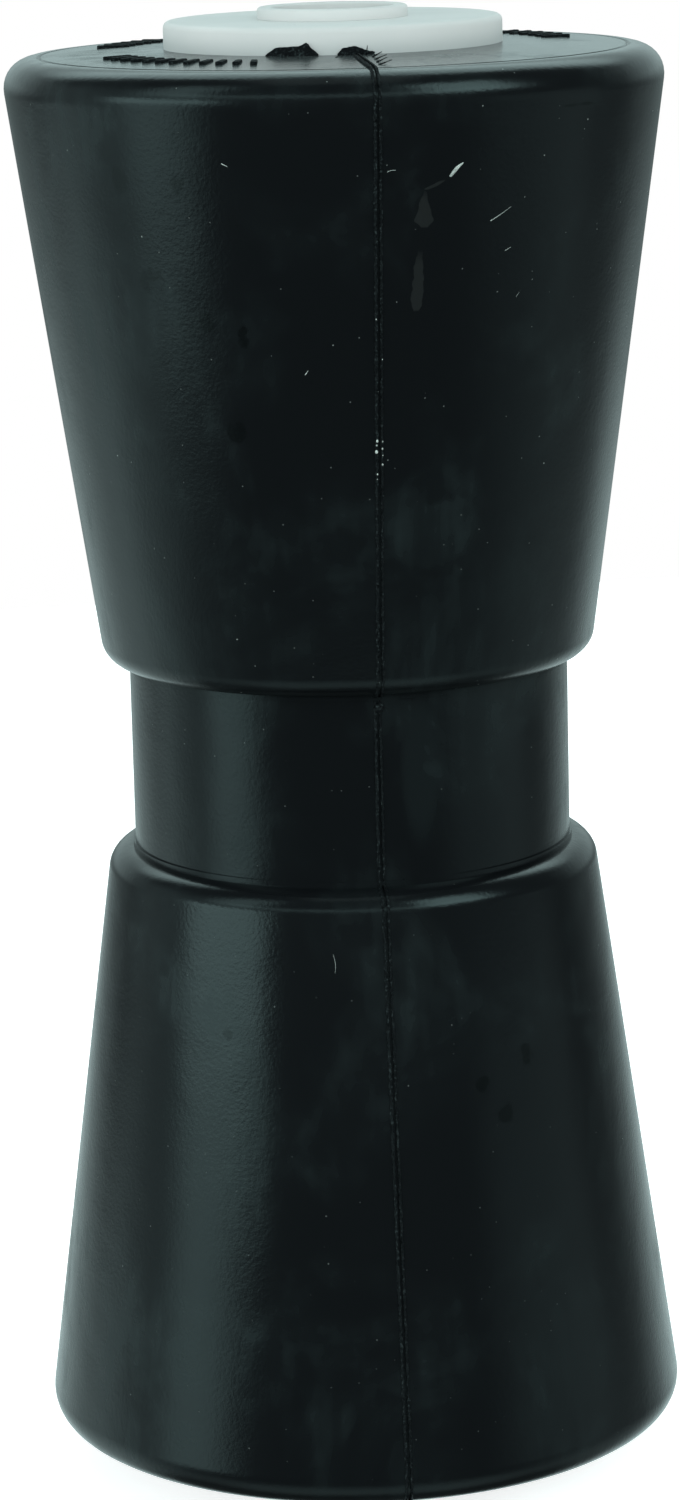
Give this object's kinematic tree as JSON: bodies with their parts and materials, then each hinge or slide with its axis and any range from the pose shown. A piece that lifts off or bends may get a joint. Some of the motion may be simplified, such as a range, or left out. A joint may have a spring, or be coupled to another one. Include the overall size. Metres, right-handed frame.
{
  "type": "boat trailer roller",
  "caption": "Keel roller for a boat trailer: a rubber moulding of two cones and a straight waist on a flanged plastic core with a through bore.",
  "frame": {"origin": "the roller's mid-length on the axis of its bore", "axes": "+Z along the bore axis towards the upper end, -Y towards one of the two parting lines of the rubber moulding, which lie in the plane x = 0"},
  "size_m": [0.0928, 0.0938, 0.2122],
  "materials": {
    "rubber": "satin black moulded rubber",
    "core_plastic": "satin natural white plastic"
  },
  "bodies": {
    "root": {"rubber_roller": "rubber", "core_bush": "core_plastic"}
  },
  "joints": []
}
